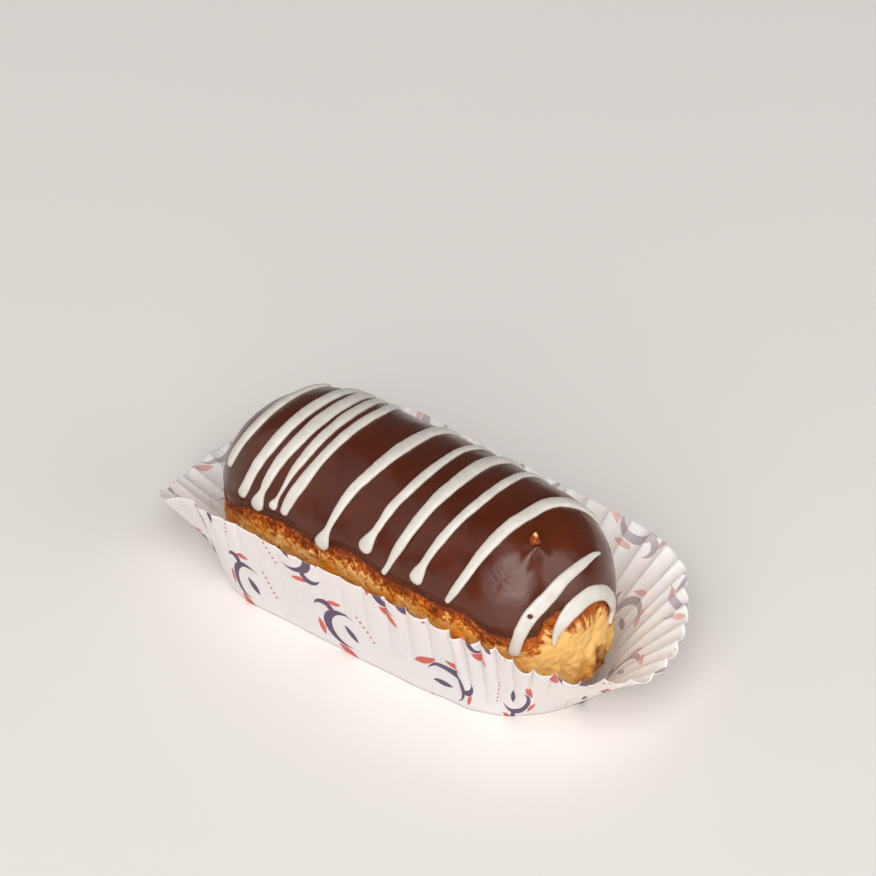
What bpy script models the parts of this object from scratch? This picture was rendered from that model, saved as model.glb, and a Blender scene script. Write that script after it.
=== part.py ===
"""A chocolate eclair in its fluted paper case.

The eclair lies along X with its open, golden front end at +X, and the case rests on z = 0.
Three solids: the choux shell, the chocolate icing with its white drizzle, and the paper case.
Lengths are in metres, and angles in degrees.
"""

import math

import bmesh
import bpy
from mathutils import Vector, noise

MM = 0.001
GAP = 0.35 * MM

# The eclair as it looks from outside, icing included.
LENGTH = 125.5 * MM
WIDTH = 52.0 * MM
HEIGHT = 51.3 * MM
CENTRE_X = 0.7 * MM
CORE = 36.0 * MM
CORE_HEIGHT = 0.443 * HEIGHT
WIDTH_BULGE, WIDTH_TAPER = 0.067, -0.024
HEIGHT_BULGE, HEIGHT_TAPER = 0.062, 0.056
FRONT_ROUNDING, BACK_ROUNDING = 26.8 * MM, 25.8 * MM
END_POWER, TOP_POWER, UNDER_POWER = 2.13, 2.25, 2.5

ICING_THICKNESS = 1.2 * MM
CHOUX_COLUMNS = 72
CHOUX_ROWS_UNDER = 8
ICING_ROWS = 8
CHOUX_BAND_BULGE = 0.8 * MM
CRUST_LUMP, CRUST_LUMP_SIZE = 0.7 * MM, 9.0 * MM
FRONT_STREAKS, FRONT_STREAK_DEPTH = 18, 0.35 * MM

# Where the icing ends, as an elevation seen from the core, at each bearing round the eclair.
# Bearing 0 is the front tip, 90 the far side, 180 the back tip and 270 the near side.
ICING_EDGE = (
    (0, 25), (8, 21), (16, 6), (26, 5), (40, 9), (60, 13), (90, 16), (120, 12), (150, 9),
    (180, 6), (205, 8), (226, 11), (240, 18), (255, 20), (270, 22), (285, 21), (300, 22),
    (316, 17), (326, 13), (334, 15), (338, 24), (344, 28), (351, 27),
)
EDGE_WAVES, EDGE_WAVE = (11, 19), (1.1, 0.9)

# Each stripe of drizzle: where it starts low on the near side, where it crosses the ridge, and
# where it ends on the far side. Places along X in mm, angles up and over the eclair in degrees,
# with 0 at the near side's widest line and 90 on the ridge. Then the width, and the swelling
# of both ends.
STRIPES = (
    (-50.8, 30, -48.1, 76, -46.0, 124, 3.6, 0.9, 0.7),
    (-41.8, 19, -37.3, 76, -37.2, 138, 3.6, 0.9, 0.8),
    (-35.4, 16, -31.1, 78, -34.6, 142, 3.9, 1.2, 0.7),
    (-29.7, 20, -25.9, 80, -30.0, 140, 3.0, 0.8, 0.7),
    (-25.7, 20, -20.2, 80, -26.0, 142, 3.4, 0.9, 0.7),
    (-10.9, 16, -4.2, 80, -4.0, 145, 3.8, 0.95, 0.7),
    (3.5, 25, 9.2, 83, 8.5, 142, 2.8, 1.3, 0.8),
    (11.0, 18, 17.9, 82, 18.5, 148, 3.9, 0.6, 0.7),
    (21.9, 23, 27.9, 84, 28.0, 146, 2.9, 1.3, 0.8),
    (32.8, 20, 40.8, 82, 47.5, 143, 3.5, 0.6, 0.7),
    (52.4, 3, 57.3, 61, 56.7, 117, 4.1, 0.8, 0.35),
)
LOOP_WIDTH = 5.0 * MM
LOOP_START, LOOP_SPAN = -19.5, 35.0
DRIZZLE_RISE, DRIZZLE_ROOT = 1.0 * MM, 0.55 * MM
DRIZZLE_LIFT = 0.07 * MM
DRIZZLE_STEPS = 12
PEAK_PLACE = (48.5 * MM, 71.5)
PEAK_RADIUS, PEAK_HEIGHT = 1.9 * MM, 2.4 * MM

PAPER = 0.4 * MM
# The outer form's underside, set so that the choux lies a gap above the paper.
UNDERSIDE = PAPER + CHOUX_BAND_BULGE - ICING_THICKNESS
CASE_CENTRE_X = 1.0 * MM
CASE_HALF = 37.0 * MM
CASE_SLANT = 30.5 * MM
# The slant is this part shorter round the back tip.
BACK_TUCK = 0.15
FLUTES = 60
STEPS_PER_FLUTE = 4
CASE_ROWS = 4

# The case's wall at each bearing: radius of the floor and depth of the flutes in mm, and the
# lean from upright at the foot and at the rim in degrees.
CASE_WALL = (
    (0, 23.8, 1.6, 40, 52), (15, 24.0, 1.7, 38, 48), (29, 25.0, 1.8, 34, 42),
    (43, 26.0, 1.9, 39, 47), (60, 26.0, 1.9, 42, 48), (75, 26.0, 1.7, 40, 45),
    (90, 26.0, 0.8, 38, 44), (120, 26.0, 0.5, 36, 42), (145, 25.0, 0.9, 50, 55),
    (163, 24.0, 1.4, 84, 74), (180, 23.0, 1.5, 78, 74), (195, 22.0, 1.5, 64, 54),
    (208, 25.1, 1.0, 38, 43), (222, 28.0, 0.6, 15, 18), (240, 29.2, 0.4, 8, 9),
    (255, 28.2, 0.4, 10, 11), (270, 27.6, 0.5, 8, 10), (285, 26.6, 1.2, 7, 9),
    (300, 24.6, 2.2, 8, 12), (314, 23.2, 2.2, 10, 13), (332, 22.2, 2.0, 22, 32),
    (345, 22.2, 1.6, 34, 42),
)


def clear_scene():
    for thing in list(bpy.data.objects):
        bpy.data.objects.remove(thing, do_unlink=True)


def make_collection(name, hidden=False):
    collection = bpy.data.collections.new(name)
    collection.hide_render = hidden
    bpy.context.scene.collection.children.link(collection)
    return collection


def make_material(name, colour, roughness):
    material = bpy.data.materials.new(name)
    material.use_nodes = True
    shader = material.node_tree.nodes["Principled BSDF"]
    shader.inputs["Base Color"].default_value = (*colour, 1.0)
    shader.inputs["Roughness"].default_value = roughness
    shader.inputs["Metallic"].default_value = 0.0
    material.diffuse_color = (*colour, 1.0)
    return material


def at_bearing(keys, bearing):
    """The values of a ring of keys at this bearing, eased from each key to the next."""
    bearing %= 360.0
    for here, after in zip(keys, keys[1:] + keys[:1]):
        span = (after[0] - here[0]) % 360.0
        if (bearing - here[0]) % 360.0 <= span:
            part = (bearing - here[0]) % 360.0 / span
            part = part * part * (3.0 - 2.0 * part)
            return [a + (b - a) * part for a, b in zip(here[1:], after[1:])]
    return list(keys[0][1:])


def spine(bearing, half):
    """A point on a straight core of this half length, and the level way out from it.

    The ends take 120 degrees of bearing each, and the straight sides 60 each.
    """
    bearing %= 360.0
    if bearing > 300.0:
        bearing -= 360.0
    if bearing <= 60.0:
        centre, turn = half, bearing * 1.5
    elif bearing <= 120.0:
        centre, turn = half * (90.0 - bearing) / 30.0, 90.0
    elif bearing <= 240.0:
        centre, turn = -half, 90.0 + (bearing - 120.0) * 1.5
    else:
        centre, turn = half * (bearing - 270.0) / 30.0, 270.0
    turn = math.radians(turn)
    return Vector((centre, 0.0, 0.0)), Vector((math.cos(turn), math.sin(turn), 0.0))


def section(x):
    """Half width, height above the core and depth below it of the eclair across X at x."""
    along = max(-1.0, min(1.0, x / (LENGTH / 2)))
    rounding = FRONT_ROUNDING if x > 0 else BACK_ROUNDING
    into_end = max(0.0, (abs(x) - (LENGTH / 2 - rounding)) / rounding)
    fullness = max(0.0, 1.0 - into_end**END_POWER) ** (1.0 / END_POWER)
    middle = 1.0 - along * along
    half_width = WIDTH / 2 * fullness * (1.0 + WIDTH_BULGE * middle + WIDTH_TAPER * along)
    crown = HEIGHT * (1.0 + HEIGHT_BULGE * middle + HEIGHT_TAPER * along)
    above = (crown - CORE_HEIGHT) * fullness**0.85
    below = (CORE_HEIGHT - UNDERSIDE) * fullness**0.35
    return half_width, above, below


def outside(point):
    """Over 0 outside the eclair's outer form, and under 0 inside. Heights are from the core."""
    half_width, above, below = section(point.x)
    if half_width <= 1e-9 or abs(point.x) >= LENGTH / 2:
        return 1.0
    if point.z >= 0.0:
        power, height = TOP_POWER, above
    else:
        power, height = UNDER_POWER, below
    return (abs(point.y) / half_width) ** power + (abs(point.z) / height) ** power - 1.0


def form_point(bearing, elevation, inset):
    """The outer form met from the core this way, moved inwards by inset."""
    centre, level = spine(bearing, CORE)
    lift = math.radians(elevation)
    way = level * math.cos(lift) + Vector((0.0, 0.0, math.sin(lift)))
    near, far = 0.0, LENGTH
    for _ in range(40):
        middle = (near + far) / 2
        if outside(centre + way * middle) > 0.0:
            far = middle
        else:
            near = middle
    point = centre + way * (near - inset)
    return point + Vector((CENTRE_X, 0.0, CORE_HEIGHT))


def icing_edge(bearing):
    turn = math.radians(bearing)
    wave = sum(EDGE_WAVE[i] * math.sin(EDGE_WAVES[i] * turn + i) for i in range(2))
    return at_bearing(ICING_EDGE, bearing)[0] + wave


def choux_inset(bearing, elevation):
    """How far the choux lies inside the outer form: lumps, the bare band and the front streaks."""
    bare = max(0.0, min(1.0, (icing_edge(bearing) - elevation) / 8.0))
    under = max(0.0, min(1.0, (elevation + 60.0) / 40.0))
    place = form_point(bearing, elevation, 0.0) / CRUST_LUMP_SIZE
    lump = noise.noise(place) * 0.7 + noise.noise(place * 2.3) * 0.3
    front = max(0.0, math.cos(math.radians((bearing + 180.0) % 360.0 - 180.0) * 1.5))
    if abs((bearing + 180.0) % 360.0 - 180.0) > 60.0:
        front = 0.0
    streak = math.cos(math.radians(bearing) * 1.5 * FRONT_STREAKS)
    relief = CHOUX_BAND_BULGE + CRUST_LUMP * lump * under
    relief += FRONT_STREAK_DEPTH * streak * front * under
    return ICING_THICKNESS + GAP - bare * relief


def mesh_object(name, collection, material, bm):
    """Merges the doubled points, turns the faces outwards and links the result."""
    bmesh.ops.remove_doubles(bm, verts=bm.verts, dist=0.01 * MM)
    bmesh.ops.recalc_face_normals(bm, faces=bm.faces)
    mesh = bpy.data.meshes.new(name)
    bm.to_mesh(mesh)
    bm.free()
    for face in mesh.polygons:
        face.use_smooth = True
    mesh.materials.append(material)
    made = bpy.data.objects.new(name, mesh)
    collection.objects.link(made)
    return made


def skin(bm, rings, closed_ways=True):
    """Faces between rings of points. The rings are lists of vectors of one length."""
    loops = [[bm.verts.new(point) for point in ring] for ring in rings]
    count = len(loops[0])
    for lower, upper in zip(loops, loops[1:]):
        for i in range(count if closed_ways else count - 1):
            j = (i + 1) % count
            bm.faces.new((lower[i], lower[j], upper[j], upper[i]))
    return loops


def bearings(count):
    return [360.0 * i / count for i in range(count)]


def build_choux(collection):
    """The whole choux shell, with the icing's bed on top and the crust's relief below."""
    rings = []
    ways = bearings(CHOUX_COLUMNS)
    for row in range(CHOUX_ROWS_UNDER):
        part = row / CHOUX_ROWS_UNDER
        rings.append([choux_at(way, -90.0 + (90.0 + icing_edge(way)) * part) for way in ways])
    for row in range(ICING_ROWS + 1):
        part = row / ICING_ROWS
        edges = [icing_edge(way) for way in ways]
        rings.append([choux_at(w, e + (90.0 - e) * part) for w, e in zip(ways, edges)])
    bm = bmesh.new()
    skin(bm, rings)
    crust = make_material("choux_crust", (0.62, 0.27, 0.06), 0.7)
    return mesh_object("choux_shell", collection, crust, bm)


def choux_at(bearing, elevation):
    return form_point(bearing, elevation, choux_inset(bearing, elevation))


def build_icing_skin(collection, material):
    """The icing alone: a skin over the top of the choux with a rounded edge."""
    ways = bearings(CHOUX_COLUMNS)
    edges = [icing_edge(way) for way in ways]
    outer, inner = [], []
    for row in range(ICING_ROWS + 1):
        part = row / ICING_ROWS
        tops = [e + (90.0 - e) * part for e in edges]
        outer.append([form_point(w, t, 0.0) for w, t in zip(ways, tops)])
        inner.append([form_point(w, t, ICING_THICKNESS) for w, t in zip(ways, tops)])
    lip = [form_point(w, e - 1.6, 0.55 * ICING_THICKNESS) for w, e in zip(ways, edges)]
    bm = bmesh.new()
    skin(bm, outer[::-1] + [lip] + inner)
    return mesh_object("icing_skin", collection, material, bm)


def drizzle_point(x, over, lift):
    """A point on the icing at x, this many degrees up and over from the near side.

    Returns the point raised by lift, and the way out from the surface there.
    """

    def surface(x, over):
        half_width, above, below = section(x)
        turn = math.radians(over)
        side, rise = math.cos(turn), math.sin(turn)
        power = 2.0 / (TOP_POWER if rise > 0 else UNDER_POWER)
        y = -half_width * math.copysign(abs(side) ** power, side)
        z = (above if rise > 0 else below) * math.copysign(abs(rise) ** power, rise)
        return Vector((x + CENTRE_X, y, z + CORE_HEIGHT))

    here = surface(x, over)
    along = surface(x + 0.2 * MM, over) - surface(x - 0.2 * MM, over)
    across = surface(x, over + 0.7) - surface(x, over - 0.7)
    out = along.cross(across).normalized()
    if out.dot(here - Vector((here.x * 0.7, 0.0, CORE_HEIGHT))) < 0.0:
        out.negate()
    return here + out * lift, out


def bead(name, collection, material, points, outs, widths):
    """A bead of drizzle: a low round back over a narrow root, swept along points."""
    rings = []
    for i, (point, out, width) in enumerate(zip(points, outs, widths)):
        ahead = points[min(i + 1, len(points) - 1)] - points[max(i - 1, 0)]
        side = ahead.normalized().cross(out).normalized()
        half = width / 2
        rise = DRIZZLE_RISE * min(1.0, width / (2.2 * MM))
        shape = ((1.0, -0.1), (0.72, 0.72), (0.0, 1.0), (-0.72, 0.72), (-1.0, -0.1))
        ring = [point + side * half * a + out * rise * b for a, b in shape]
        ring.append(point - side * half * 0.7 - out * DRIZZLE_ROOT)
        ring.append(point + side * half * 0.7 - out * DRIZZLE_ROOT)
        rings.append(ring)
    bm = bmesh.new()
    loops = skin(bm, rings)
    bm.faces.new(loops[0][::-1])
    bm.faces.new(loops[-1])
    return mesh_object(name, collection, material, bm)


def bend(start, middle, end, part):
    """A smooth path through three values, with the middle one at its middle."""
    control = 2.0 * middle - (start + end) / 2
    return (1 - part) ** 2 * start + 2 * part * (1 - part) * control + part**2 * end


def swelling(part, start, end):
    """How wide a bead is along its length, from rounded end to rounded end."""
    width = 1.0
    width += (start - 1.0) * math.exp(-((part - 0.05) ** 2) / 0.004)
    width += (end - 1.0) * math.exp(-((1.0 - part) ** 2) / 0.03)
    tip = min(1.0, part / 0.04, (1.0 - part) / 0.04)
    return width * (0.45 + 0.55 * math.sqrt(max(0.0, tip)))


def build_drizzle(collection, material):
    for number, stripe in enumerate(STRIPES):
        x0, over0, x1, over1, x2, over2, width, start, end = stripe
        points, outs, widths = [], [], []
        for step in range(DRIZZLE_STEPS + 1):
            part = step / DRIZZLE_STEPS
            part = 0.5 - 0.5 * math.cos(math.pi * (0.15 + 0.7 * part)) / math.cos(0.15 * math.pi)
            x = bend(x0, x1, x2, part) * MM
            point, out = drizzle_point(x, bend(over0, over1, over2, part), DRIZZLE_LIFT)
            points.append(point)
            outs.append(out)
            widths.append(width * MM * swelling(part, start, end))
        bead(f"stripe_{number:02d}", collection, material, points, outs, widths)


def build_loop(collection, material):
    """The short arc of drizzle that hangs round the top of the bare front end."""
    points, outs, widths = [], [], []
    for step in range(13):
        part = step / 12
        bearing = LOOP_START + LOOP_SPAN * part
        elevation = 8.0 - 4.0 * part + 22.0 * math.sin(math.pi * part) ** 0.6
        point = form_point(bearing, elevation, 0.0)
        centre, _ = spine(bearing, CORE)
        points.append(point)
        outs.append((point - centre - Vector((CENTRE_X, 0.0, CORE_HEIGHT))).normalized())
        widths.append(LOOP_WIDTH * (0.3 + 0.7 * math.sin(math.pi * (0.06 + 0.82 * part))))
    bead("front_loop", collection, material, points, outs, widths)


def build_peak(collection, material):
    """The tip of the piped choux that stands up through the icing near the front."""
    point, out = drizzle_point(*PEAK_PLACE, -0.6 * MM)
    bm = bmesh.new()
    bmesh.ops.create_cone(
        bm, cap_ends=True, segments=8, radius1=PEAK_RADIUS, radius2=0.3 * PEAK_RADIUS,
        depth=PEAK_HEIGHT,
    )
    turn = Vector((0.0, 0.0, 1.0)).rotation_difference(out)
    for vert in bm.verts:
        vert.co = turn @ (vert.co + Vector((0.0, 0.0, PEAK_HEIGHT / 2))) + point
    mesh_object("piping_peak", collection, material, bm)


def build_icing(collection):
    """The icing skin with its drizzle and peak, made one solid by a union."""
    chocolate = make_material("chocolate_icing", (0.09, 0.026, 0.014), 0.3)
    icing = build_icing_skin(collection, chocolate)
    toppings = make_collection("icing_toppings", hidden=True)
    build_drizzle(toppings, chocolate)
    build_loop(toppings, chocolate)
    build_peak(toppings, chocolate)
    join = icing.modifiers.new("toppings", "BOOLEAN")
    join.operation = "UNION"
    join.operand_type = "COLLECTION"
    join.collection = toppings
    join.solver = "MANIFOLD"
    graph = bpy.context.evaluated_depsgraph_get()
    joined = bpy.data.meshes.new_from_object(icing.evaluated_get(graph))
    icing.modifiers.clear()
    icing.data = joined
    icing.name = "chocolate_icing"
    for topping in list(toppings.objects):
        bpy.data.objects.remove(topping, do_unlink=True)
    bpy.data.collections.remove(toppings)
    return icing


def case_point(bearing, part, inwards):
    """The case's wall at this bearing, this part of the way up its slant.

    inwards is how far the point lies from the outer face towards the eclair.
    """
    radius, depth, foot_lean, rim_lean = at_bearing(CASE_WALL, bearing)
    slant = CASE_SLANT * (1.0 - BACK_TUCK * math.exp(-(((bearing - 190.0) / 18.0) ** 2)))
    centre, level = spine(bearing, CASE_HALF)
    reach, height, lean = radius * MM, 0.0, foot_lean
    for step in range(20):
        if (step + 0.5) / 20 > part:
            break
        lean = foot_lean + (rim_lean - foot_lean) * (step + 0.5) / 20
        reach += slant / 20 * math.sin(math.radians(lean))
        height += slant / 20 * math.cos(math.radians(lean))
    phase = bearing * FLUTES / 360.0 % 1.0
    flute = depth * MM * math.sin(math.pi * phase) ** 0.6 * part**1.3
    lean = math.radians(lean)
    shift = flute - inwards
    reach += shift * math.cos(lean)
    height -= shift * math.sin(lean)
    if part == 0.0:
        height = inwards
    height = max(height, inwards)
    return centre + level * reach + Vector((CASE_CENTRE_X, 0.0, height))


def build_case(collection):
    """The pleated paper case: a thin wall that opens out at both ends, round a flat floor."""
    ways = bearings(FLUTES * STEPS_PER_FLUTE)
    parts = [row / CASE_ROWS for row in range(CASE_ROWS + 1)]
    outer = [[case_point(way, part, 0.0) for way in ways] for part in parts]
    inner = [[case_point(way, part, PAPER) for way in ways] for part in parts]
    bm = bmesh.new()
    loops = skin(bm, outer + inner[::-1])
    bm.faces.new(loops[0][::-1])
    bm.faces.new(loops[-1])
    paper = make_material("white_paper", (0.82, 0.77, 0.75), 0.75)
    return mesh_object("paper_case", collection, paper, bm)


def middle_of_floor(piece):
    """The middle of the box round a piece, on z = 0."""
    xs = [vert.co.x for vert in piece.data.vertices]
    ys = [vert.co.y for vert in piece.data.vertices]
    return Vector(((min(xs) + max(xs)) / 2, (min(ys) + max(ys)) / 2, 0.0))


def main():
    clear_scene()
    eclair = make_collection("chocolate_eclair")
    choux = build_choux(eclair)
    icing = build_icing(eclair)
    case = build_case(eclair)
    root = bpy.data.objects.new("eclair_root", None)
    root.location = middle_of_floor(case) * -1.0
    eclair.objects.link(root)
    for piece in (choux, icing, case):
        piece.parent = root


main()
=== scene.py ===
"""Looks of a chocolate eclair in its pleated paper case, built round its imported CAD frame.

The choux, the icing, the white drizzle, the piped tip and the paper are new pieces that stand
for the CAD nodes and keep their forms. Lengths are in metres unless a name says millimetres,
and angles are in degrees. A bearing goes round the eclair: 0 is the golden front tip at +X,
90 the far side, 180 the back tip and 270 the near side.
"""

import logging
import math
from dataclasses import dataclass
from enum import Enum

import bpy
import numpy as np
from mathutils import Matrix, Quaternion, Vector, noise


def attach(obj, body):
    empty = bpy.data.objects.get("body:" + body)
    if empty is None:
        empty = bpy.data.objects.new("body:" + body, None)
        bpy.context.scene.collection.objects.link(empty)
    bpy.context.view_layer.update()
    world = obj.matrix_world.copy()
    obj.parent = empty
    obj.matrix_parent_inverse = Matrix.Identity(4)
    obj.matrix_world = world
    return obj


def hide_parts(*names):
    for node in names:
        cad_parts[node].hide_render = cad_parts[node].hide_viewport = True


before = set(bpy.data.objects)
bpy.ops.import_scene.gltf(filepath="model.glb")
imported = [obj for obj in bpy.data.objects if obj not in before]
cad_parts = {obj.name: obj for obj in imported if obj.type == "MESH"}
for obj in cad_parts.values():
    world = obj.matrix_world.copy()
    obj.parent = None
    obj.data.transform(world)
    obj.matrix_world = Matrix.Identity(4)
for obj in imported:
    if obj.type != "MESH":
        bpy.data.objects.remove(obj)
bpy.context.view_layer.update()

LOG = logging.getLogger("eclair")
MM = 0.001
Grid = np.ndarray
Colour = tuple[float, float, float]

# The CAD centres the whole on its bounding box, and this is how far that moved its pieces.
CAD_SHIFT = np.array([1.1656, -7.0159, 0.0]) * MM


class Slot(Enum):
    """Material slot names."""

    CHOUX = "choux_crust"
    ICING = "chocolate_icing"
    PAPER = "white_paper"


def smoothstep(low: float, high: float, value: Grid) -> Grid:
    """Rises smoothly from 0 at low to 1 at high."""
    part = np.clip((value - low) / (high - low), 0.0, 1.0)
    return part * part * (3.0 - 2.0 * part)


def ring_values(keys: tuple[tuple[float, ...], ...], bearing: Grid) -> list[Grid]:
    """The values of a ring of keys at these bearings, eased from each key to the next.

    Args:
        keys: rows that start with a bearing from 0 up, in order.
        bearing: the bearings asked for.

    Returns:
        One array for each value of a key.
    """
    table = np.array(keys + ((keys[0][0] + 360.0, *keys[0][1:]),))
    bearing = np.mod(bearing, 360.0)
    index = np.clip(np.searchsorted(table[:, 0], bearing, side="right") - 1, 0, len(keys) - 1)
    part = smoothstep(0.0, 1.0, (bearing - table[index, 0]) / np.diff(table[:, 0])[index])
    return [table[index, i] + (table[index + 1, i] - table[index, i]) * part
            for i in range(1, table.shape[1])]


def noise_at(points: Grid, scale: float, seed: float = 0.0) -> Grid:
    """Smooth noise from -1 to 1 at each point.

    Args:
        points: places in metres, as rows.
        scale: the size of one lump.
        seed: moves the pattern, so that two patterns differ.

    Returns:
        One value for each point.
    """
    flat = points.reshape(-1, 3) / scale + seed
    values = [noise.noise(Vector(place)) for place in flat]
    return np.array(values).reshape(points.shape[:-1])


@dataclass
class EclairForm:
    """The eclair's outer form, icing included, as the CAD has it.

    The icing's edge is keyed by bearing and elevation, and each of its waves is a count
    round the ring, a height in degrees and a start in radians.
    """

    length: float = 125.5 * MM
    width: float = 52.0 * MM
    height: float = 51.3 * MM
    centre_x: float = 0.7 * MM
    core: float = 36.0 * MM
    core_share: float = 0.443
    width_bulge: float = 0.067
    width_taper: float = -0.024
    height_bulge: float = 0.062
    height_taper: float = 0.056
    front_rounding: float = 26.8 * MM
    back_rounding: float = 25.8 * MM
    end_power: float = 2.13
    top_power: float = 2.25
    under_power: float = 2.5
    top_fall: float = 0.85
    under_fall: float = 0.35
    halvings: int = 40
    icing_thickness: float = 1.2 * MM
    icing_gap: float = 0.35 * MM
    icing_edge: tuple[tuple[float, float], ...] = (
        (0, 25), (8, 21), (16, 6), (26, 5), (40, 9), (60, 13), (90, 16), (120, 12), (150, 9),
        (180, 6), (205, 8), (226, 11), (240, 18), (255, 20), (270, 22), (285, 21), (300, 22),
        (316, 17), (326, 13), (334, 15), (338, 24), (344, 28), (351, 27),
    )
    edge_waves: tuple[tuple[int, float, float], ...] = ((11, 1.1, 0.0), (19, 0.9, 1.0))

    @property
    def core_height(self) -> float:
        """How high the core runs, which is the height of the widest line."""
        return self.core_share * self.height

    @property
    def origin(self) -> Grid:
        """The middle of the core in the frame."""
        return np.array([self.centre_x, 0.0, self.core_height]) + CAD_SHIFT

    def spine(self, bearing: Grid, half: float) -> tuple[Grid, Grid]:
        """Where a bearing leaves a straight core, and its level way out.

        Each end takes up 120 degrees of bearing and each side 60.

        Args:
            bearing: the bearings asked for.
            half: half the core's length.

        Returns:
            The place along X, and the turn from +X in radians.
        """
        turn = np.mod(bearing, 360.0)
        turn = np.where(turn > 300.0, turn - 360.0, turn)
        along = np.where(turn <= 60.0, half, half * (90.0 - turn) / 30.0)
        along = np.where(turn > 120.0, -half, along)
        along = np.where(turn > 240.0, half * (turn - 270.0) / 30.0, along)
        way = np.where(turn <= 60.0, turn * 1.5, 90.0)
        way = np.where(turn > 120.0, 90.0 + (turn - 120.0) * 1.5, way)
        way = np.where(turn > 240.0, 270.0, way)
        return along, np.radians(way)

    def section(self, x: Grid) -> tuple[Grid, Grid, Grid]:
        """Half width, height above the core and depth below it, across X at x."""
        along = np.clip(x / (self.length / 2), -1.0, 1.0)
        rounding = np.where(x > 0, self.front_rounding, self.back_rounding)
        into_end = np.maximum(0.0, (np.abs(x) - (self.length / 2 - rounding)) / rounding)
        fullness = np.maximum(0.0, 1.0 - into_end**self.end_power) ** (1.0 / self.end_power)
        middle = 1.0 - along * along
        wide = 1.0 + self.width_bulge * middle + self.width_taper * along
        tall = 1.0 + self.height_bulge * middle + self.height_taper * along
        above = (self.height * tall - self.core_height) * fullness**self.top_fall
        below = self.core_height * fullness**self.under_fall
        return self.width / 2 * fullness * wide, above, below

    def outside(self, place: Grid) -> Grid:
        """Over 0 where a place, taken from the middle of the core, is outside the form."""
        x, y, z = place[..., 0], place[..., 1], place[..., 2]
        half, above, below = self.section(x)
        tall = np.where(z >= 0.0, above, below)
        power = np.where(z >= 0.0, self.top_power, self.under_power)
        safe_half, safe_tall = np.maximum(half, 1e-9), np.maximum(tall, 1e-9)
        value = (np.abs(y) / safe_half) ** power + (np.abs(z) / safe_tall) ** power - 1.0
        return np.where((half <= 1e-9) | (np.abs(x) >= self.length / 2), 1.0, value)

    def at(self, bearing: Grid, elevation: Grid, inset: Grid) -> Grid:
        """Points where a look from the core meets the form.

        Args:
            bearing: which way round.
            elevation: how far up, from -90 below to 90 above.
            inset: how far inside the form to stop.

        Returns:
            Points in the frame, as rows.
        """
        bearing, elevation, inset = np.broadcast_arrays(bearing, elevation, inset)
        along, turn = self.spine(bearing, self.core)
        lift = np.radians(elevation)
        way = np.stack([np.cos(turn) * np.cos(lift), np.sin(turn) * np.cos(lift), np.sin(lift)], -1)
        start = np.stack([along, np.zeros_like(along), np.zeros_like(along)], -1)
        near, far = np.zeros_like(along), np.full_like(along, self.length)
        for _ in range(self.halvings):
            middle = (near + far) / 2
            out = self.outside(start + way * middle[..., None]) > 0.0
            near, far = np.where(out, near, middle), np.where(out, middle, far)
        return start + way * (near - inset)[..., None] + self.origin

    def over(self, x: Grid, over: Grid) -> Grid:
        """Points on the form by place along X and angle up and over from the near side."""
        half, above, below = self.section(x)
        turn = np.radians(over)
        side, rise = np.cos(turn), np.sin(turn)
        power = np.where(rise > 0, 2.0 / self.top_power, 2.0 / self.under_power)
        y = -half * np.sign(side) * np.abs(side) ** power
        z = np.where(rise > 0, above, below) * np.sign(rise) * np.abs(rise) ** power
        return np.stack([x, y, z], -1) + self.origin

    def out_of(self, x: Grid, over: Grid) -> Grid:
        """The way straight out of the form at a place that over() gives."""
        slide, tilt = 0.2 * MM, 0.7
        along = self.over(x + slide, over) - self.over(x - slide, over)
        across = self.over(x, over + tilt) - self.over(x, over - tilt)
        out = np.cross(along, across)
        out /= np.linalg.norm(out, axis=-1, keepdims=True)
        from_core = self.over(x, over) - self.origin
        from_core[..., 0] *= 0.3
        wrong = np.sum(out * from_core, -1, keepdims=True) < 0.0
        return np.where(wrong, -out, out)

    def spot(self, x: float, over: float) -> tuple[Grid, Grid]:
        """One place, in millimetres and degrees, as a point of the form, and its way out."""
        along, turn = np.array([x * MM]), np.array([over])
        return self.over(along, turn)[0], self.out_of(along, turn)[0]

    def edge(self, bearing: Grid) -> Grid:
        """The elevation at which the icing ends."""
        turn = np.radians(bearing)
        wave = sum(size * np.sin(count * turn + start) for count, size, start in self.edge_waves)
        return ring_values(self.icing_edge, bearing)[0] + wave


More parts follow.
